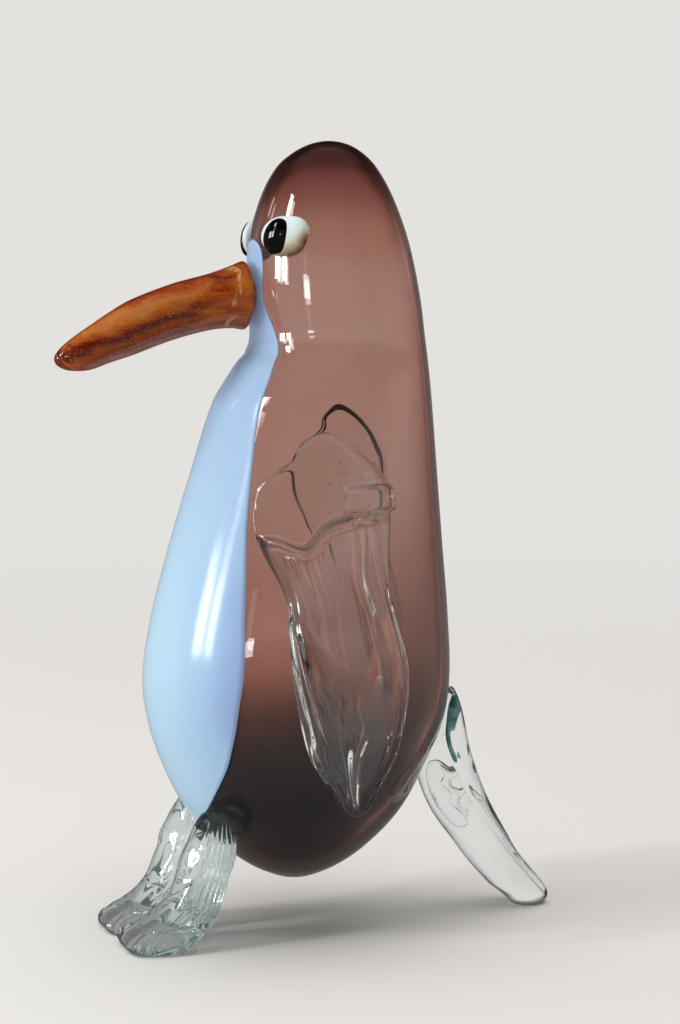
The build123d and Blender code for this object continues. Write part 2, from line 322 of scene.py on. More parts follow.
# Height and half width
OPAL_SHARES = [
    (0.0, 0.0),
    (0.012, 0.16),
    (0.065, 0.56),
    (0.135, 0.83),
    (0.205, 0.96),
    (0.28, 1.0),
    (0.38, 0.935),
    (0.52, 0.78),
    (0.65, 0.64),
    (0.76, 0.52),
    (0.84, 0.34),
    (0.90, 0.225),
    (0.95, 0.225),
    (0.98, 0.19),
    (1.0, 0.0),
]
OPAL_ROWS = swell(OPAL_SHARES, 1)

# Opal glass: milky and fire polished, lavender where it is thin along its near edge and bluer towards the
# throat, where it is also darkened with painted shade against the overhead light falling stronger on the
# upper surfaces. A faint painted glow (emission) lifts its shaded parts, for the light that spreads inside
# the milk.
opal_glass = new_material("blue_opal_glass")
place = add(opal_glass, "ShaderNodeTexCoord", {})
spot = add(opal_glass, "ShaderNodeSeparateXYZ", {"Vector": place.outputs["Object"]})
cloud = add(opal_glass, "ShaderNodeTexNoise", {"Vector": place.outputs["Object"], "Scale": 1 / (40 * MM),
                                               "Detail": 3.0})
drift = add(opal_glass, "ShaderNodeMath", {0: cloud.outputs["Fac"], 1: 12 * MM, 2: spot.outputs["X"]},
            operation="MULTIPLY_ADD")
across = add(opal_glass, "ShaderNodeMapRange", {"Value": drift.outputs["Value"], "From Min": -20 * MM,
                                                "From Max": 46 * MM})
tint = add(opal_glass, "ShaderNodeValToRGB", {"Fac": across.outputs["Result"]}, stops=[
    (0.0, "#a8c4cf"), (0.6, "#9dbbcf"), (0.84, "#8eacca"), (1.0, "#7486b0")])
# Painted shade: darker from the chest up to the throat
rise = add(opal_glass, "ShaderNodeMapRange", {"Value": spot.outputs["Z"], "From Min": 100 * MM,
                                              "From Max": 240 * MM}, interpolation_type="SMOOTHSTEP")
milk = add(opal_glass, "ShaderNodeMix", {"Factor": rise.outputs["Result"], "A": tint.outputs["Color"],
                                         "B": colour("#8ba2c0")}, data_type="RGBA")
# Painted glow: a faint emission lifts the shaded parts
shader = add(opal_glass, "ShaderNodeBsdfPrincipled", {
    "Base Color": milk.outputs["Result"], "Roughness": 0.14, "IOR": 1.5, "Specular IOR Level": 0.3,
    "Emission Color": colour("#9cb6dc"), "Emission Strength": 0.16})
add(opal_glass, "ShaderNodeOutputMaterial", {"Surface": shader.outputs["BSDF"]})

# The inner face of the opal layer, with a painted glow (emission) for the daylight that the milk lets through
opal_inside = new_material("blue_opal_glass_inside")
shader = add(opal_inside, "ShaderNodeBsdfPrincipled", {
    "Base Color": colour("#a7c0d8"), "Roughness": 0.3, "IOR": 1.5, "Emission Color": colour("#a7bcd8"),
    "Emission Strength": 0.45})
add(opal_inside, "ShaderNodeOutputMaterial", {"Surface": shader.outputs["BSDF"]})

bm = bmesh.new()
bmesh.ops.create_grid(bm, x_segments=48, y_segments=180, size=1)
for vertex in bm.verts:
    up = (vertex.co.y + 1) / 2
    height = OPAL_FOOT + (OPAL_TOP - OPAL_FOOT) * up
    edge = asin(min(OPAL_HALF_WIDTH * size(between(OPAL_ROWS, up)[0]) / body_at(height)[2], 1))
    wider = 1 + OPAL_FAR_WIDER * step(0.8, 0.88, up) * step(0.0, 0.3, -vertex.co.x)
    vertex.co = on_body(edge * wider * vertex.co.x, height, jack_line(height) - OPAL_PROUD)
bmesh.ops.remove_doubles(bm, verts=bm.verts, dist=0.02 * MM)
piece = finish_piece(bm, "opal_belly", ["belly_opal"], "opal_glass", opal_glass, opal_inside)
layer = piece.modifiers.new("layer", "SOLIDIFY")
layer.thickness = OPAL_THICK
layer.offset = -1.0
layer.material_offset = 1

# The beak is a drop of clear amber glass over a core of copper aventurine, pulled out and bent down
# while hot, then stuck to the head by its flared base. A broken thread of cream wanders round the base.
BEAK_LOW, BEAK_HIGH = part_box("beak_casing")
BEAK_REACH = 70 * MM
BEAK_DROP = 22.5 * MM
BEAK_BEND = 1.35
BEAK_BASE_RADIUS = 12.3 * MM
BEAK_BASE_FRONT = BEAK_LOW.y + BEAK_REACH
BEAK_BASE_HEIGHT = BEAK_HIGH.z - BEAK_BASE_RADIUS
CORE_RADIUS = 10.6 * MM
CORE_REACH = 67 * MM
# Reach from the base, drop, half height and half width
CASING_SHARES = [
    (-0.060, 0.0, 0.0, 0.0),
    (-0.055, 0.0, 0.52, 0.52),
    (-0.036, 0.0, 0.56, 0.56),
    (-0.022, 0.0, 0.70, 0.70),
    (-0.010, 0.0, 0.93, 0.93),
    (0.0, 0.0, 1.0, 1.0),
    (0.012, 0.0, 1.0, 1.0),
    (0.06, 0.02, 0.92, 0.92),
    (0.18, 0.10, 0.83, 0.82),
    (0.38, 0.26, 0.82, 0.79),
    (0.60, 0.51, 0.81, 0.76),
    (0.71, 0.66, 0.73, 0.69),
    (0.82, 0.83, 0.63, 0.59),
    (0.92, 0.94, 0.44, 0.42),
    (0.98, 0.99, 0.22, 0.22),
    (1.0, 1.0, 0.0, 0.0),
]
CORE_SHARES = [
    (-0.05, 0.0, 0.0, 0.0),
    (-0.046, 0.0, 0.48, 0.48),
    (-0.022, 0.0, 0.60, 0.60),
    (-0.006, 0.0, 0.94, 0.94),
    (0.012, 0.0, 1.02, 1.02),
    (0.06, 0.02, 0.96, 0.96),
    (0.18, 0.10, 0.86, 0.85),
    (0.38, 0.26, 0.85, 0.81),
    (0.60, 0.51, 0.82, 0.77),
    (0.71, 0.66, 0.73, 0.69),
    (0.82, 0.83, 0.62, 0.58),
    (0.92, 0.94, 0.42, 0.40),
    (0.98, 0.99, 0.20, 0.20),
    (1.0, 1.0, 0.0, 0.0),
]


def drop_section(shares, radius, reach):
    """The sections of a drop along the beak's curve, from rows of reach, drop and half sizes."""
    rows = swell(shares, 2)
    first = shares[0][0]

    def section(share):
        along = first + (1 - first) * share
        drop, high, wide = between(rows, along)
        front = BEAK_BASE_FRONT - reach * along
        height = BEAK_BASE_HEIGHT - BEAK_DROP * reach / BEAK_REACH * drop
        return lambda turn: Vector((BODY_MIDDLE.x + radius * size(wide) * cos(turn), front,
                                    height + radius * size(high) * sin(turn)))

    return section


# Amber glass: clear, a deep orange line where it is seen at a slant
amber_glass = new_material("amber_glass")
slant = add(amber_glass, "ShaderNodeLayerWeight", {"Blend": 0.5})
rim = add(amber_glass, "ShaderNodeValToRGB", {"Fac": slant.outputs["Facing"]}, stops=[
    (0.0, "#fdf1e2"), (0.5, "#f7cf9a"), (0.75, "#c25e26"), (1.0, "#6a2410")])
shader = add(amber_glass, "ShaderNodeBsdfPrincipled", {
    "Base Color": rim.outputs["Color"], "Roughness": 0.05, "IOR": 1.5, "Specular IOR Level": 0.5,
    "Transmission Weight": 1.0})
add(amber_glass, "ShaderNodeOutputMaterial", {"Surface": shader.outputs["BSDF"]})

# Copper aventurine: brown glass full of copper platelets, in streaks drawn along the beak, with a
# tan streak over its upper half, and marbled near the base. The platelets are drawn further apart
# than real ones, so that they show.
FLECKS_APART = 0.6 * MM
copper_glass = new_material("copper_aventurine_glass")
place = add(copper_glass, "ShaderNodeTexCoord", {})
spot = add(copper_glass, "ShaderNodeSeparateXYZ", {"Vector": place.outputs["Object"]})
drawn = add(copper_glass, "ShaderNodeMapping", {
    "Vector": place.outputs["Object"], "Rotation": (radians(-20), 0, 0), "Scale": (1.0, 0.2, 1.0)})
veins = add(copper_glass, "ShaderNodeTexNoise", {"Vector": drawn.outputs["Vector"], "Scale": 1 / (5 * MM),
                                                 "Detail": 8.0, "Roughness": 0.68, "Distortion": 0.6})
reach = add(copper_glass, "ShaderNodeMapRange", {"Value": spot.outputs["Y"], "From Min": BEAK_BASE_FRONT,
                                                 "From Max": BEAK_BASE_FRONT - BEAK_REACH})
bend = add(copper_glass, "ShaderNodeMath", {0: reach.outputs["Result"], 1: BEAK_BEND}, operation="POWER")
lift = add(copper_glass, "ShaderNodeMath", {0: bend.outputs["Value"], 1: BEAK_DROP, 2: spot.outputs["Z"]},
           operation="MULTIPLY_ADD")
stirred = add(copper_glass, "ShaderNodeMath", {0: veins.outputs["Fac"], 1: 12 * MM, 2: lift.outputs["Value"]},
              operation="MULTIPLY_ADD")
level = add(copper_glass, "ShaderNodeMapRange", {
    "Value": stirred.outputs["Value"], "From Min": BEAK_BASE_HEIGHT - 5 * MM,
    "From Max": BEAK_BASE_HEIGHT + 16 * MM})
# Pale beige along the underside: partly its own lighter glass, partly painted light against the shade there
streaks = add(copper_glass, "ShaderNodeValToRGB", {"Fac": level.outputs["Result"]}, stops=[
    (0.0, "#f4d2a8"), (0.13, "#cc9260"), (0.23, "#964614"), (0.36, "#b4560e"), (0.47, "#5a1602"),
    (0.55, "#8e2c06"), (0.64, "#c8742c"), (0.78, "#dc9c5c"), (0.90, "#c25a14"), (1.0, "#8e2a06")])
ground = add(copper_glass, "ShaderNodeValToRGB", {"Fac": veins.outputs["Fac"]}, stops=[
    (0.34, "#5c1c02"), (0.46, "#b4520a"), (0.58, "#d6761c"), (0.68, "#e8ac58")])
outward = add(copper_glass, "ShaderNodeMapRange", {"Value": reach.outputs["Result"], "From Min": 0.16,
                                                   "From Max": 0.34}, interpolation_type="SMOOTHSTEP")
tint = add(copper_glass, "ShaderNodeMix", {"Factor": outward.outputs["Result"], "A": ground.outputs["Color"],
                                           "B": streaks.outputs["Color"]}, data_type="RGBA")
# The platelets are painted in the bright gold of their glint: painted glint over their own copper colour
flecks = add(copper_glass, "ShaderNodeTexVoronoi", {"Vector": place.outputs["Object"],
                                                    "Scale": 1 / FLECKS_APART})
bright = add(copper_glass, "ShaderNodeMapRange", {"Value": flecks.outputs["Distance"], "From Min": 0.10,
                                                  "From Max": 0.42, "To Min": 1.0, "To Max": 0.0})
lots = add(copper_glass, "ShaderNodeSeparateXYZ", {"Vector": flecks.outputs["Color"]})
chosen = add(copper_glass, "ShaderNodeMapRange", {"Value": lots.outputs["X"], "From Min": 0.35,
                                                  "From Max": 0.8})
wander = add(copper_glass, "ShaderNodeTexNoise", {"Vector": place.outputs["Object"], "Scale": 1 / (13 * MM),
                                                  "Detail": 1.0})
crowd = add(copper_glass, "ShaderNodeMapRange", {"Value": wander.outputs["Fac"], "From Min": 0.42,
                                                 "From Max": 0.58, "To Min": 0.25})
shine = add(copper_glass, "ShaderNodeMath", {0: bright.outputs["Result"], 1: chosen.outputs["Result"]},
            operation="MULTIPLY")
shown = add(copper_glass, "ShaderNodeMath", {0: shine.outputs["Value"], 1: crowd.outputs["Result"]},
            operation="MULTIPLY")
gleam = add(copper_glass, "ShaderNodeMix", {"Factor": shown.outputs["Value"], "A": tint.outputs["Result"],
                                            "B": colour("#ffc45c")}, data_type="RGBA")
line = add(copper_glass, "ShaderNodeMath", {0: wander.outputs["Fac"], 1: 16 * MM, 2: spot.outputs["Y"]},
           operation="MULTIPLY_ADD")
off = add(copper_glass, "ShaderNodeMath", {0: line.outputs["Value"], 1: BEAK_BASE_FRONT + 1.5 * MM},
          operation="SUBTRACT")
near = add(copper_glass, "ShaderNodeMath", {0: off.outputs["Value"]}, operation="ABSOLUTE")
thread = add(copper_glass, "ShaderNodeMapRange", {"Value": near.outputs["Value"], "From Min": 0.6 * MM,
                                                  "From Max": 1.3 * MM, "To Min": 1.0, "To Max": 0.0})
broken = add(copper_glass, "ShaderNodeTexNoise", {"Vector": place.outputs["Object"], "Scale": 1 / (5 * MM)})
pieces = add(copper_glass, "ShaderNodeMapRange", {"Value": broken.outputs["Fac"], "From Min": 0.42,
                                                  "From Max": 0.52})
cream = add(copper_glass, "ShaderNodeMath", {0: thread.outputs["Result"], 1: pieces.outputs["Result"]},
            operation="MULTIPLY")
whole = add(copper_glass, "ShaderNodeMix", {"Factor": cream.outputs["Value"], "A": gleam.outputs["Result"],
                                            "B": colour("#e8cfa6")}, data_type="RGBA")
shader = add(copper_glass, "ShaderNodeBsdfPrincipled", {
    "Base Color": whole.outputs["Result"], "Roughness": 0.35, "IOR": 1.5, "Specular IOR Level": 0.1})
add(copper_glass, "ShaderNodeOutputMaterial", {"Surface": shader.outputs["BSDF"]})

bm = bmesh.new()
form(bm, 72, 140, drop_section(CASING_SHARES, BEAK_BASE_RADIUS, BEAK_REACH))
finish_piece(bm, "beak_drop", ["beak_casing"], "amber_glass", amber_glass)
bm = bmesh.new()
form(bm, 72, 120, drop_section(CORE_SHARES, CORE_RADIUS, CORE_REACH))
finish_piece(bm, "beak_heart", ["beak_core"], "copper_glass", copper_glass)

# Each eye is a bead of white glass dropped on hot and drawn to a point behind, with a bead of black
# glass set into its front. Both melt a little way into the head.
EYE_HEIGHT = BODY_LOW.z + 0.87 * BODY_TALL
EYE_HALF_LONG = 10.4 * MM
EYE_HALF_TALL = 7.3 * MM
EYE_DOME = 3.6 * MM
EYE_CORNER_LIFT = 1.6 * MM
EYE_SEAT = 0.6 * MM
PUPIL_HALF_LONG = 5.3 * MM
PUPIL_HALF_TALL = 6.4 * MM
PUPIL_SLANT = 1.1 * MM
PUPIL_HALF_DEEP = 2.3 * MM
PUPIL_FORWARD = 2.8 * MM
PUPIL_OUT = 2.4 * MM
# Side of each eye and its turn from the front
EYES = [
    ("left", radians(40)),
    ("right", radians(-46)),
]
# Place along the eye from its front, lift, half height and dome
EYE_SHARES = [
    (0.0, 0.0, 0.0, 0.0),
    (0.03, 0.0, 0.36, 0.36),
    (0.12, 0.0, 0.68, 0.68),
    (0.28, 0.0, 0.93, 0.93),
    (0.45, 0.0, 1.0, 1.0),
    (0.62, 0.08, 0.97, 0.97),
    (0.76, 0.25, 0.85, 0.86),
    (0.85, 0.68, 0.61, 0.66),
    (0.90, 1.10, 0.34, 0.45),
    (0.95, 1.05, 0.20, 0.30),
    (1.0, 0.35, 0.0, 0.0),
]
EYE_ROWS = swell(EYE_SHARES, 2)


def seated(point, depth):
    """Keeps a point of a piece that is melted on from sinking deeper into the wall than this."""
    middle, half_depth, half_width = body_at(point.z)
    if half_width <= 2 * depth:
        return point
    x, y = point.x - BODY_MIDDLE.x, point.y - middle
    inside = hypot(x / (half_width - depth), y / (half_depth - depth))
    if 0 < inside < 1:
        point.x = BODY_MIDDLE.x + x / inside
        point.y = middle + y / inside
    return point


def eye_frame(turn):
    """Where an eye lies: its middle, the way to its corner, and the way out of the head."""
    half_depth, half_width = body_at(EYE_HEIGHT)[1:]
    back = Vector((half_width * cos(turn), half_depth * sin(turn), 0)).normalized() * copysign(1, turn)
    out = Vector((half_depth * sin(turn), -half_width * cos(turn), 0)).normalized()
    return on_body(turn, EYE_HEIGHT), back, out


# White enamel glass, glossy, browner towards the lower corner behind
white_glass = new_material("white_enamel_glass")
place = add(white_glass, "ShaderNodeTexCoord", {})
spot = add(white_glass, "ShaderNodeSeparateXYZ", {"Vector": place.outputs["Object"]})
cloud = add(white_glass, "ShaderNodeTexNoise", {"Vector": place.outputs["Object"], "Scale": 1 / (5 * MM)})
low_back = add(white_glass, "ShaderNodeMath", {0: spot.outputs["Y"], 1: spot.outputs["Z"]},
               operation="SUBTRACT")
brown_corner = add(white_glass, "ShaderNodeMath", {0: cloud.outputs["Fac"], 1: 5 * MM, 2: low_back.outputs["Value"]},
            operation="MULTIPLY_ADD")
far = add(white_glass, "ShaderNodeMapRange", {"Value": brown_corner.outputs["Value"], "From Min": -271 * MM,
                                              "From Max": -260 * MM})
tint = add(white_glass, "ShaderNodeValToRGB", {"Fac": far.outputs["Result"]}, stops=[
    (0.0, "#cfdadd"), (0.40, "#c3ccc9"), (0.68, "#a8957a"), (1.0, "#6e5340")])
shader = add(white_glass, "ShaderNodeBsdfPrincipled", {
    "Base Color": tint.outputs["Color"], "Roughness": 0.05, "IOR": 1.5})
add(white_glass, "ShaderNodeOutputMaterial", {"Surface": shader.outputs["BSDF"]})

# Black glass, fire polished
black_glass = new_material("black_glass")
shader = add(black_glass, "ShaderNodeBsdfPrincipled", {
    "Base Color": colour("#040404"), "Roughness": 0.02, "IOR": 1.45, "Specular IOR Level": 0.3})
add(black_glass, "ShaderNodeOutputMaterial", {"Surface": shader.outputs["BSDF"]})

for side, turn in EYES:
    middle, back, out = eye_frame(turn)
    up = Vector((0, 0, 1))

    def bead_section(share):
        lift, tall, dome = between(EYE_ROWS, share)
        line = middle + (back * EYE_HALF_LONG * (2 * share - 1) + up * EYE_CORNER_LIFT * lift)
        return lambda angle: seated(line + (up * EYE_HALF_TALL * size(tall) * cos(angle)
                                            + out * EYE_DOME * size(dome) * sin(angle)), EYE_SEAT)

    def pupil_section(share):
        ring = sqrt(share * (1 - share)) * 2
        line = middle + (out * (PUPIL_OUT + PUPIL_HALF_DEEP * (2 * share - 1)) - back * PUPIL_FORWARD)
        return lambda angle: seated(line + ring * (
            back * (PUPIL_HALF_LONG * cos(angle) + PUPIL_SLANT * sin(angle))
            + up * PUPIL_HALF_TALL * sin(angle)), EYE_SEAT)

    bm = bmesh.new()
    form(bm, 48, 64, bead_section)
    finish_piece(bm, f"eye_{side}", [f"eye_white_{side}"], "white_glass", white_glass)
    bm = bmesh.new()
    form(bm, 48, 32, pupil_section)
    finish_piece(bm, f"eye_bead_{side}", [f"pupil_{side}"], "black_glass", black_glass)

# Each wing is a clear gather: a flat pad melted on at the shoulder, and a second gather laid over its
# lower edge and drawn down into a blade, whose folds and fine flutes run together at the tip.
WING_TALL = 134.5 * MM
WING_HALF_WIDTH = 24.0 * MM
RIGHT_WING_HALF_WIDTH = 18.5 * MM
WING_HALF_THICK = 11.5 * MM
WING_STAND = 13.2 * MM
WING_FORWARD = 9.3 * MM
WING_TWIST = radians(10.5)
WING_SEAT_HEIGHT = BODY_LOW.z + 0.52 * BODY_TALL
WING_FOOT = WING_SEAT_HEIGHT - 0.804 * WING_TALL
RIGHT_WING_TURN = radians(48)
RIGHT_WING_LIFT = 6.5 * MM
GATHER_SEAT = 1.2 * MM
PAD_THICK = 4.2 * MM
PAD_ROUND = 1.1 * MM
PAD_RIM = 0.5 * MM
GATHER_STAND = 1.4 * MM
FLUTE_DEEP = 0.24 * MM
FLUTE_APART = 3.0 * MM
WEB_DEEP = 1.2 * MM
BLOCK_STAND = 1.3 * MM
WING_SEED_RADIUS = 0.35 * MM
WING_SEED_COUNT = 26
# Height, distance forward, stand-off from the shoulder, twist, half width and half thickness
WING_SHARES = [
    (0.0, 0.29, 0.80, 0.75, 0.0, 0.0),
    (0.022, 0.34, 0.86, 0.73, 0.24, 0.18),
    (0.085, 0.39, 0.90, 0.68, 0.44, 0.30),
    (0.184, 0.46, 0.95, 0.58, 0.74, 0.385),
    (0.305, 0.52, 1.0, 0.44, 0.88, 0.445),
    (0.40, 0.56, 0.89, 0.20, 0.905, 0.50),
    (0.49, 0.72, 0.71, -0.06, 0.845, 0.58),
    (0.567, 0.75, 0.38, -0.47, 0.795, 0.71),
    (0.667, 0.90, -0.14, -0.88, 0.895, 0.95),
    (0.737, 1.0, -0.36, -1.0, 0.99, 1.0),
    (0.79, 0.99, -0.45, -1.0, 1.0, 0.99),
    (0.845, 0.935, -0.52, -1.0, 0.98, 0.955),
    (0.889, 0.81, -0.49, -1.0, 0.79, 0.82),
    (0.926, 0.69, -0.42, -1.0, 0.555, 0.625),
    (0.961, 0.86, -0.40, -1.0, 0.41, 0.42),
    (0.987, 0.935, -0.41, -1.0, 0.21, 0.23),
    (1.0, 1.0, -0.41, -1.0, 0.0, 0.0),
]
WING_ROWS = swell(WING_SHARES, 4)
# Place across the wing from its front edge, and height of the edge of the gather laid over the pad
GATHER_EDGE = [
    (-1.0, 0.735),
    (-0.78, 0.730),
    (-0.38, 0.708),
    (-0.02, 0.763),
    (0.28, 0.780),
    (0.60, 0.793),
    (1.0, 0.800),
]
# Depth in mm and width of each long fold of the blade, then height and place across along it
FOLDS = [
    (2.3, 0.070, [(0.36, 0.50), (0.435, 0.48), (0.535, 0.46), (0.61, 0.38), (0.71, 0.44), (0.80, 0.40)]),
    (1.3, 0.055, [(0.37, 0.88), (0.47, 0.92), (0.565, 0.86), (0.685, 0.74), (0.775, 0.66)]),
    (1.8, 0.060, [(0.24, -0.70), (0.375, -0.84), (0.475, -0.92), (0.595, -0.98)]),
    (1.8, 0.080, [(0.07, -0.28), (0.205, -0.28), (0.31, -0.42), (0.38, -0.58)]),
    (2.0, 0.080, [(0.035, -0.06), (0.14, -0.06), (0.235, 0.16), (0.30, 0.06)]),
    (1.0, 0.060, [(0.025, 0.94), (0.10, 0.74), (0.20, 0.74)]),
    (-1.7, 0.090, [(0.14, -0.88), (0.24, -0.86), (0.375, -0.95), (0.595, -1.05)]),
    (-0.9, 0.090, [(0.02, 0.70), (0.10, 0.93), (0.20, 0.93), (0.30, 1.0)]),
]

# Clear crystal: white and sharp seen straight on, faintly green in its depth, and grey to nearly black
# along its edges with painted shade, standing in for dark surroundings refracted there
clear_glass = new_material("clear_crystal_glass")
slant = add(clear_glass, "ShaderNodeLayerWeight", {"Blend": 0.5})
# Painted shade along the edges
rim = add(clear_glass, "ShaderNodeValToRGB", {"Fac": slant.outputs["Facing"]}, stops=[
    (0.0, "#fefefe"), (0.45, "#f2f5f4"), (0.68, "#9fa8a7"), (0.85, "#434a49"), (1.0, "#1d2222")])
shader = add(clear_glass, "ShaderNodeBsdfPrincipled", {
    "Base Color": rim.outputs["Color"], "Roughness": 0.0, "IOR": 1.5, "Transmission Weight": 1.0})
tinge = add(clear_glass, "ShaderNodeVolumeAbsorption", {"Color": colour("#accfd0"), "Density": 5.0})
add(clear_glass, "ShaderNodeOutputMaterial", {"Surface": shader.outputs["BSDF"],
                                              "Volume": tinge.outputs["Volume"]})


def wing(half_width, mirror, turn, lift, seed, bold, soft):
    """The sections of a wing: folds and flutes on the blade, a flat even pad above the gather's edge.

    Bold is how much of the relief shows, and soft how gradually the gather's edge runs into the pad.
    """
    shoulder, _, shoulder_width = body_at(WING_SEAT_HEIGHT)

    def relief(share, across):
        edge = between(GATHER_EDGE, across)[0]
        blade = 1 - step(edge - soft, edge + 0.004, share)
        fold = 0.0
        for deep, wide, rows in FOLDS:
            if rows[0][0] - 0.05 < share < rows[-1][0] + 0.05:
                ends = step(rows[0][0] - 0.05, rows[0][0] + 0.02, share)
                ends *= 1 - step(rows[-1][0] - 0.03, rows[-1][0] + 0.05, share)
                fold -= deep * MM * ends * exp(-((across - between(rows, share)[0]) / wide) ** 2)
        lane = across * half_width / FLUTE_APART
        flute = FLUTE_DEEP * noise.noise(Vector((lane + 1.2 * share, share * 2.5, seed)))
        fine = 0.5 * FLUTE_DEEP * noise.noise(Vector((lane * 2.6, share * 4.0, seed + 5)))
        web = WEB_DEEP * exp(-((share - edge + 0.012) / 0.012) ** 2)
        block = BLOCK_STAND * step(0.30, 0.38, across) * step(0.785, 0.80, share)
        block *= 1 - step(0.85, 0.865, share)
        stand = GATHER_STAND * step(0.3, 0.6, share)
        return blade, bold * (blade * (stand + fold + flute + fine + web) + block)

    def section(share):
        ahead, stand, twist, wide, thick = between(WING_ROWS, share)
        local = Matrix.Rotation(WING_TWIST * twist, 3, "Z")
        height = WING_FOOT + WING_TALL * share + lift
        middle, half_depth, body_width = body_at(height)

        def point(angle):
            across = sin(angle)
            blade, skin = relief(share, across)
            facing = step(0.0, 0.5, cos(angle)) - 0.4 * step(0.0, 0.5, -cos(angle))
            out = WING_HALF_THICK * size(thick) * cos(angle) + skin * facing * min(1, share / 0.06)
            spot = local @ Vector((out, half_width * size(wide) * across, 0))
            spot += Vector((shoulder_width + WING_STAND * stand, -WING_FORWARD * ahead, 0))
            if mirror:
                spot.x = -spot.x
            spot = Matrix.Rotation(turn, 3, "Z") @ spot
            x, y = spot.x, spot.y + shoulder - middle
            inside = hypot(x / body_width, y / half_depth)
            reach = hypot(x, y) / inside
            proud = (inside - 1) * reach
            if proud > 0 and blade < 1:
                flat = PAD_THICK * (1 - exp(-proud / PAD_ROUND))
                flat += PAD_RIM * exp(-((proud - 1.6 * MM) / (0.6 * MM)) ** 2) + skin
                proud = proud * blade + flat * (1 - blade)
            grow = (1 + max(proud, -GATHER_SEAT) / reach) / inside
            return Vector((BODY_MIDDLE.x + x * grow, middle + y * grow, height))

        return point

    return section


chance = Random(5)
bm = bmesh.new()
form(bm, 220, 250, wing(WING_HALF_WIDTH, False, 0.0, 0.0, 3.0, 1.0, 0.012))
seeds(bm, [on_body(radians(90 + chance.uniform(-12, 10)), chance.uniform(150, 176) * MM,
                   -chance.uniform(1.0, 3.0) * MM) for _ in range(WING_SEED_COUNT)], WING_SEED_RADIUS)
finish_piece(bm, "wing_near", ["wing_left"], "clear_glass", clear_glass)
bm = bmesh.new()
form(bm, 200, 220, wing(RIGHT_WING_HALF_WIDTH, True, -RIGHT_WING_TURN, RIGHT_WING_LIFT, 7.0, 0.2, 0.32))
finish_piece(bm, "wing_far", ["wing_right"], "clear_glass", clear_glass)

# Each foot is a clear gather stuck under the belly, drawn forward and pressed on a ribbed plate. Its
# shin stays smooth, fine ribs run down the side and back, coarser ones round the toe, and the sole is flat.
FOOT_TALL = BODY_LOW.z + 32 * MM
FOOT_STEP = 23.5 * MM
FOOT_SINK = 4.0 * MM
FOOT_SIDE = 15.0 * MM
FOOT_HALF_LONG = 12.6 * MM
FOOT_HALF_WIDTH = 12.5 * MM
FOOT_SEAT_HEIGHT = BODY_LOW.z + 0.092 * BODY_TALL
RIB_DEEP = 0.65 * MM
RIB_COUNT = 13
TOE_RIB_DEEP = 1.0 * MM
TOE_RIB_COUNT = 9
TOE_RIDGE = 0.8 * MM
KNOT_DEEP = 0.8 * MM
# Height, step forward, half length and half width
FOOT_SHARES = [
    (-0.06, 1.0, 0.0, 0.0),
    (-0.03, 1.0, 0.54, 0.70),
    (0.0, 1.0, 0.78, 0.98),
    (0.05, 0.936, 0.98, 1.16),
    (0.10, 0.855, 1.0, 1.18),
    (0.16, 0.668, 0.96, 1.08),
    (0.27, 0.46, 0.85, 0.94),
    (0.44, 0.268, 0.765, 0.85),
    (0.70, 0.09, 0.75, 0.80),
    (0.86, 0.02, 0.55, 0.70),
    (0.96, 0.0, 0.32, 0.45),
    (1.0, 0.0, 0.0, 0.0),
]
FOOT_ROWS = swell(FOOT_SHARES, 2)


def squarer(value, power):
    return copysign(abs(value) ** power, value)


def foot(side, seed):
    """The sections of a foot, square at the toe, with a ridge where the leg meets it."""
    middle, half_depth = body_at(FOOT_SEAT_HEIGHT)[:2]
    ankle = middle - half_depth + FOOT_SINK

    def section(share):
        along = FOOT_SHARES[0][0] + (1 - FOOT_SHARES[0][0]) * share
        forward, long, wide = between(FOOT_ROWS, along)
        power = 0.55 + 0.45 * step(0.1, 0.4, along)
        show = step(0.0, 0.05, along) * step(0.0, 0.2, 1 - along)
        toe = 1 - step(0.11, 0.17, along)

        def point(angle):
            wobble = 1.6 * noise.noise(Vector((cos(angle) * 1.5, along * 5, seed)))
            shin = step(-0.75, 0.1, sin(angle))
            rib = (0.5 - abs(sin(angle * RIB_COUNT + wobble))) * RIB_DEEP * shin * (1 - toe)
            press = (0.5 - abs(sin(angle * TOE_RIB_COUNT + 2 * along))) * TOE_RIB_DEEP * toe
            ridge = TOE_RIDGE * exp(-((along - 0.165 - 0.02 * cos(angle)) / 0.014) ** 2)
            knots = KNOT_DEEP * noise.noise(Vector((cos(angle) * 1.6, sin(angle) * 1.6, along * 7 + seed)))
            skin = (rib + press + ridge + knots) * show
            return seated(Vector((
                BODY_MIDDLE.x + side * FOOT_SIDE + FOOT_HALF_WIDTH * size(wide) * squarer(cos(angle), power)
                + skin * cos(angle),
                ankle - FOOT_STEP * forward + FOOT_HALF_LONG * size(long) * squarer(sin(angle), power)
                + skin * sin(angle),
                FOOT_TALL * along)), GATHER_SEAT)

        return point

    return section


def stand_flat(bm):
    """Cuts the form off level with the table and closes it."""
    everything = [*bm.verts, *bm.edges, *bm.faces]
    cut = bmesh.ops.bisect_plane(bm, geom=everything, plane_co=(0, 0, 0), plane_no=(0, 0, -1),
                                 clear_outer=True)
    rim = [item for item in cut["geom_cut"] if isinstance(item, bmesh.types.BMEdge)]
    bmesh.ops.edgenet_fill(bm, edges=rim)
    bm.normal_update()
    bmesh.ops.recalc_face_normals(bm, faces=bm.faces)


# The same crystal in thicker lumps, where its green shows
thick_glass = clear_glass.copy()
thick_glass.name = "thick_crystal_glass"
thick_glass.node_tree.nodes["Volume Absorption"].inputs["Density"].default_value = 20.0

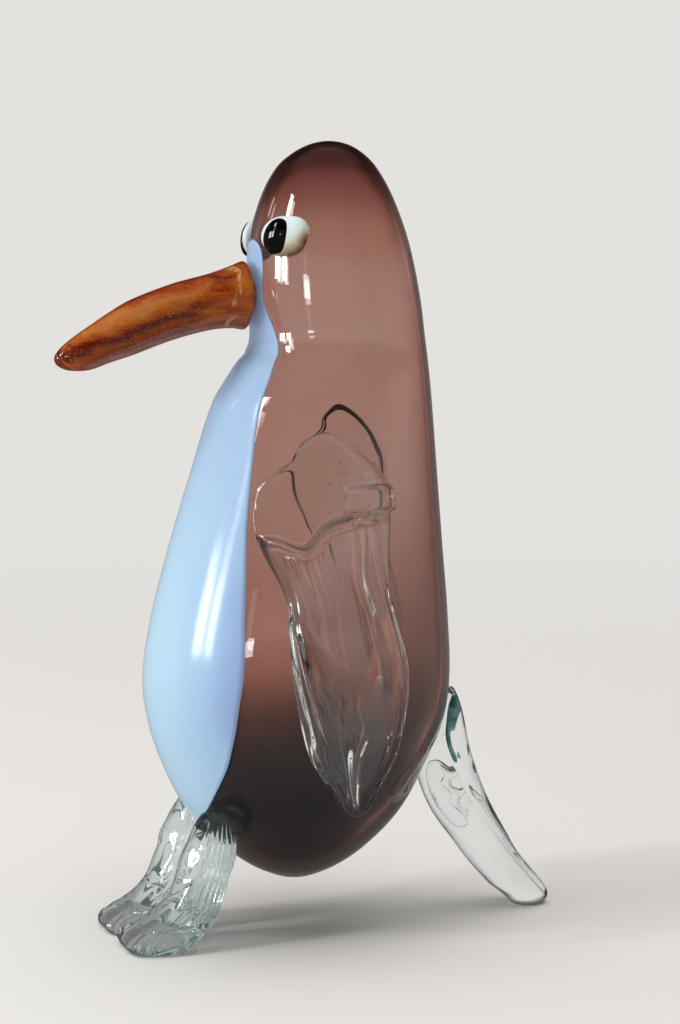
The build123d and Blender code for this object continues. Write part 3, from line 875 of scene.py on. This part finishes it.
for name, node, side, seed in (("foot_near", "foot_left", 1, 2.0), ("foot_far", "foot_right", -1, 5.0)):
    bm = bmesh.new()
    form(bm, 240, 150, foot(side, seed))
    stand_flat(bm)
    finish_piece(bm, name, [node], "clear_glass", thick_glass)

# The tail is a clear bar drawn back and down to the table as a prop. Three drawn-out pockets of air
# are trapped in it, one broad, one wavering and one thin, and a wavy thread of teal glass lies near
# its upper end.
TAIL_TALL = BODY_LOW.z + 68 * MM
TAIL_STEP = 44.8 * MM
TAIL_HALF_DEPTH = 12.0 * MM
TAIL_HALF_WIDTH = 10.5 * MM
TAIL_SEAT_HEIGHT = BODY_LOW.z + 0.166 * BODY_TALL
SWIRL_DEEP = 0.9 * MM
# Foot, head, half depth, half width, place forward of the middle and waver of each pocket, in mm
POCKETS = [
    (33, 59, 5.6, 1.3, 3.6, 0.0),
    (36, 57, 1.7, 1.1, 0.9, 0.8),
    (12, 46, 0.7, 1.0, -6.6, 0.15),
]
POCKET_OUT = 2 * MM
POCKET_WAVES = 17
THREAD_RADIUS = 1.9 * MM
THREAD_LOW = 57 * MM
THREAD_HIGH = 82 * MM
THREAD_STEP = 0.255
THREAD_BACK = 0.6 * MM
THREAD_WAVE = 1.7 * MM
THREAD_BLUNT = 0.12
# Height, step back, half depth and half width
TAIL_SHARES = [
    (-0.03, 1.0, 0.0, 0.0),
    (-0.015, 1.0, 0.30, 0.32),
    (0.0, 1.0, 0.50, 0.56),
    (0.04, 0.98, 0.72, 0.80),
    (0.10, 0.873, 0.87, 0.92),
    (0.29, 0.585, 0.92, 1.0),
    (0.52, 0.317, 1.0, 1.0),
    (0.72, 0.199, 0.90, 0.86),
    (0.88, 0.22, 0.60, 0.60),
    (0.97, 0.252, 0.28, 0.30),
    (1.0, 0.27, 0.0, 0.0),
]
TAIL_ROWS = swell(TAIL_SHARES, 2)
tail_middle, tail_depth = body_at(TAIL_SEAT_HEIGHT)[:2]
TAIL_ROOT = tail_middle + tail_depth


def tail_section(share):
    along = TAIL_SHARES[0][0] + (1 - TAIL_SHARES[0][0]) * share
    back, deep, wide = between(TAIL_ROWS, along)
    show = step(0.0, 0.1, along) * step(0.0, 0.2, 1 - along)

    def point(angle):
        swirl = noise.noise(Vector((cos(angle) * 1.4, sin(angle) * 1.4, along * 6)))
        crease = exp(-((angle - 0.9 + 1.2 * along) / 0.16) ** 2)
        skin = SWIRL_DEEP * (swirl - crease) * show
        return seated(Vector((
            BODY_MIDDLE.x + (TAIL_HALF_WIDTH * size(wide) + skin) * cos(angle),
            TAIL_ROOT + TAIL_STEP * back + (TAIL_HALF_DEPTH * size(deep) + skin) * sin(angle),
            TAIL_TALL * along)), GATHER_SEAT)

    return point


def pocket(low, high, half_depth, half_width, forward, waver):
    """The sections of a pocket of trapped air, drawn out along the tail."""

    def section(share):
        height = (low + (high - low) * share) * MM
        back = TAIL_STEP * between(TAIL_ROWS, height / TAIL_TALL)[0]
        ring = 2 * sqrt(share * (1 - share)) * MM
        shift = (waver * sin(share * POCKET_WAVES) - forward) * MM
        return lambda angle: Vector((BODY_MIDDLE.x + POCKET_OUT + half_width * ring * cos(angle),
                                     TAIL_ROOT + back + shift + half_depth * ring * sin(angle), height))

    return section


def thread_section(share):
    """The sections of the teal thread, which waves to and fro and is blunt at both ends."""
    height = THREAD_LOW + (THREAD_HIGH - THREAD_LOW) * share
    ring = THREAD_RADIUS * (4 * share * (1 - share)) ** THREAD_BLUNT
    shift = THREAD_WAVE * sin(share * 5.5 + 2.6) + THREAD_BACK
    middle = TAIL_ROOT + TAIL_STEP * THREAD_STEP + shift
    return lambda angle: Vector((BODY_MIDDLE.x + ring * cos(angle), middle + ring * sin(angle), height))


# Teal glass: a thin rod, nearly opaque, mottled where it was stretched
teal_glass = new_material("teal_glass")
place = add(teal_glass, "ShaderNodeTexCoord", {})
mottle = add(teal_glass, "ShaderNodeTexNoise", {"Vector": place.outputs["Object"], "Scale": 1 / (4 * MM)})
tint = add(teal_glass, "ShaderNodeValToRGB", {"Fac": mottle.outputs["Fac"]}, stops=[
    (0.35, "#3b7576"), (0.55, "#5b9c9b"), (0.7, "#a5cfcd")])
shader = add(teal_glass, "ShaderNodeBsdfPrincipled", {
    "Base Color": tint.outputs["Color"], "Roughness": 0.1, "IOR": 1.5})
add(teal_glass, "ShaderNodeOutputMaterial", {"Surface": shader.outputs["BSDF"]})

bm = bmesh.new()
form(bm, 120, 160, tail_section)
stand_flat(bm)
for sizes in POCKETS:
    bmesh.ops.reverse_faces(bm, faces=form(bm, 32, 60, pocket(*sizes)))
finish_piece(bm, "tail_bar", ["tail"], "clear_glass", clear_glass)
bm = bmesh.new()
form(bm, 24, 40, thread_section)
finish_piece(bm, "tail_thread", ["tail_streak"], "teal_glass", teal_glass)

# The stage is a plain pale floor that fades into a pale backdrop, soft light from overhead, and
# window panes in front of the penguin whose reflections draw the long highlights. The surroundings
# are dimmed where they are mirrored, as dark cards do it in glass photography.
FLOOR_RADIUS = 2.5
FADE_START = 0.25
FADE_END = 1.6
FLOOR_THROUGH_GLASS = 0.7
MIRRORED_LEVEL = 0.3
BACKDROP = "#e4e2df"

floor_paint = new_material("pale_floor")
place = add(floor_paint, "ShaderNodeTexCoord", {})
away = add(floor_paint, "ShaderNodeVectorMath", {0: place.outputs["Object"]}, operation="LENGTH")
fade = add(floor_paint, "ShaderNodeMapRange", {"Value": away.outputs["Value"], "From Min": FADE_START,
                                               "From Max": FADE_END}, interpolation_type="SMOOTHSTEP")
path = add(floor_paint, "ShaderNodeLightPath", {})
straight = add(floor_paint, "ShaderNodeMath", {0: 1.0, 1: path.outputs["Is Transmission Ray"]},
               operation="SUBTRACT")
mirrored = add(floor_paint, "ShaderNodeMath", {
    0: path.outputs["Is Glossy Ray"], 1: straight.outputs["Value"]}, operation="MULTIPLY")
far = add(floor_paint, "ShaderNodeMath", {0: path.outputs["Is Camera Ray"], 1: fade.outputs["Result"],
                                          2: mirrored.outputs["Value"]}, operation="MULTIPLY_ADD")
pale = add(floor_paint, "ShaderNodeMath", {0: fade.outputs["Result"], 1: FLOOR_THROUGH_GLASS},
           operation="MAXIMUM")
through = add(floor_paint, "ShaderNodeMath", {
    0: path.outputs["Is Transmission Ray"], 1: pale.outputs["Value"]}, operation="MULTIPLY")
mask = add(floor_paint, "ShaderNodeMath", {0: far.outputs["Value"], 1: through.outputs["Value"]},
           operation="MAXIMUM")
matt = add(floor_paint, "ShaderNodeBsdfDiffuse", {"Color": colour("#d9d6d2")})
dimmed = add(floor_paint, "ShaderNodeMath", {0: mirrored.outputs["Value"], 1: MIRRORED_LEVEL - 1, 2: 1.0},
             operation="MULTIPLY_ADD")
glow = add(floor_paint, "ShaderNodeEmission", {"Color": colour(BACKDROP),
                                               "Strength": dimmed.outputs["Value"]})
mix = add(floor_paint, "ShaderNodeMixShader", {"Fac": mask.outputs["Value"], 1: matt.outputs["BSDF"],
                                               2: glow.outputs["Emission"]})
add(floor_paint, "ShaderNodeOutputMaterial", {"Surface": mix.outputs["Shader"]})
bm = bmesh.new()
bmesh.ops.create_circle(bm, cap_ends=True, segments=96, radius=FLOOR_RADIUS)
mesh = bpy.data.meshes.new("floor")
bm.to_mesh(mesh)
bm.free()
mesh.materials.append(floor_paint)
floor = bpy.data.objects.new("floor", mesh)
bpy.context.scene.collection.objects.link(floor)
floor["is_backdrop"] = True

# The room is pale round the horizon, which is what the camera and the glass see, dim above that, and
# has a wide soft light overhead that only lights matt surfaces: it isn't seen in or through glass.
world = bpy.data.worlds.new("studio")
world.use_nodes = True
world.node_tree.nodes.clear()
bpy.context.scene.world = world
place = add(world, "ShaderNodeTexCoord", {})
way = add(world, "ShaderNodeSeparateXYZ", {"Vector": place.outputs["Generated"]})
room = add(world, "ShaderNodeValToRGB", {"Fac": way.outputs["Z"]}, stops=[
    (0.0, BACKDROP), (0.16, BACKDROP), (0.30, "#77736f"), (0.55, "#3d3a38"), (0.70, "#6b6b6b"),
    (0.86, "#b2b2b2")])
high = add(world, "ShaderNodeMapRange", {"Value": way.outputs["Z"], "From Min": 0.66, "From Max": 0.90,
                                         "To Max": 4.2})
path = add(world, "ShaderNodeLightPath", {})
glassy = add(world, "ShaderNodeMath", {
    0: path.outputs["Is Glossy Ray"], 1: path.outputs["Is Transmission Ray"]}, operation="MAXIMUM")
matted = add(world, "ShaderNodeMath", {0: path.outputs["Diffuse Depth"], 1: 1.0}, operation="MINIMUM")
sharp = add(world, "ShaderNodeMath", {0: glassy.outputs["Value"], 1: matted.outputs["Value"]},
            operation="SUBTRACT", use_clamp=True)
kept = add(world, "ShaderNodeMath", {0: 1.0, 1: sharp.outputs["Value"]}, operation="SUBTRACT")
level = add(world, "ShaderNodeMath", {0: high.outputs["Result"], 1: kept.outputs["Value"], 2: 1.0},
            operation="MULTIPLY_ADD")
mirrored = add(world, "ShaderNodeMath", {0: sharp.outputs["Value"], 1: path.outputs["Is Transmission Ray"]},
               operation="SUBTRACT", use_clamp=True)
dimmed = add(world, "ShaderNodeMath", {0: mirrored.outputs["Value"], 1: MIRRORED_LEVEL - 1, 2: 1.0},
             operation="MULTIPLY_ADD")
strength = add(world, "ShaderNodeMath", {0: level.outputs["Value"], 1: dimmed.outputs["Value"]},
               operation="MULTIPLY")
light = add(world, "ShaderNodeBackground", {"Color": room.outputs["Color"],
                                            "Strength": strength.outputs["Value"]})
add(world, "ShaderNodeOutputWorld", {"Surface": light.outputs["Background"]})

WINDOW_AWAY = 1.6
# Name, turn from the penguin's front towards its left, height, width, tallness and brightness
PANES = [
    ("pane_low_right", radians(-4), 0.44, 0.25, 0.34, 26),
    ("pane_low_left", radians(7), 0.44, 0.19, 0.34, 26),
    ("pane_high", radians(3), 1.25, 0.20, 0.50, 26),
    ("pane_dim", radians(8.5), 0.85, 0.11, 0.50, 9),
    ("side_pane", radians(39), 0.30, 0.22, 0.08, 10),
    ("side_pane_dim", radians(38), 0.30, 0.12, 0.60, 0.5),
    ("far_pane", radians(-38), 0.95, 0.10, 0.20, 5),
]
for name, turn, height, wide, tall, bright in PANES:
    data = bpy.data.lights.new(name, "AREA")
    data.shape = "RECTANGLE"
    data.size = wide
    data.size_y = tall
    data.energy = bright * pi * wide * tall
    pane = bpy.data.objects.new(name, data)
    pane.location = (WINDOW_AWAY * sin(turn), -WINDOW_AWAY * cos(turn), height)
    pane.rotation_euler = (pi / 2, 0, turn)
    pane.visible_camera = False
    bpy.context.scene.collection.objects.link(pane)

# The camera stands where the photograph was taken from
CAMERA_TURN = radians(70)
CAMERA_RISE = radians(5)
CAMERA_AWAY = 0.892
CAMERA_AIM = Vector((BODY_MIDDLE.x, 11.6 * MM, 153.5 * MM))
FOCAL_PIXELS = 2409
FRAME_TALL = 1024
lens = bpy.data.cameras.new("camera")
lens.sensor_width = 36
lens.lens = lens.sensor_width * FOCAL_PIXELS / FRAME_TALL
lens.clip_start = 0.05
camera = bpy.data.objects.new("camera", lens)
back = Vector((sin(CAMERA_TURN) * cos(CAMERA_RISE), -cos(CAMERA_TURN) * cos(CAMERA_RISE), sin(CAMERA_RISE)))
camera.location = CAMERA_AIM + back * CAMERA_AWAY
camera.rotation_euler = back.to_track_quat("Z", "Y").to_euler()
bpy.context.scene.collection.objects.link(camera)
bpy.context.scene.camera = camera
bpy.context.scene.view_settings.view_transform = "Standard"

low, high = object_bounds()
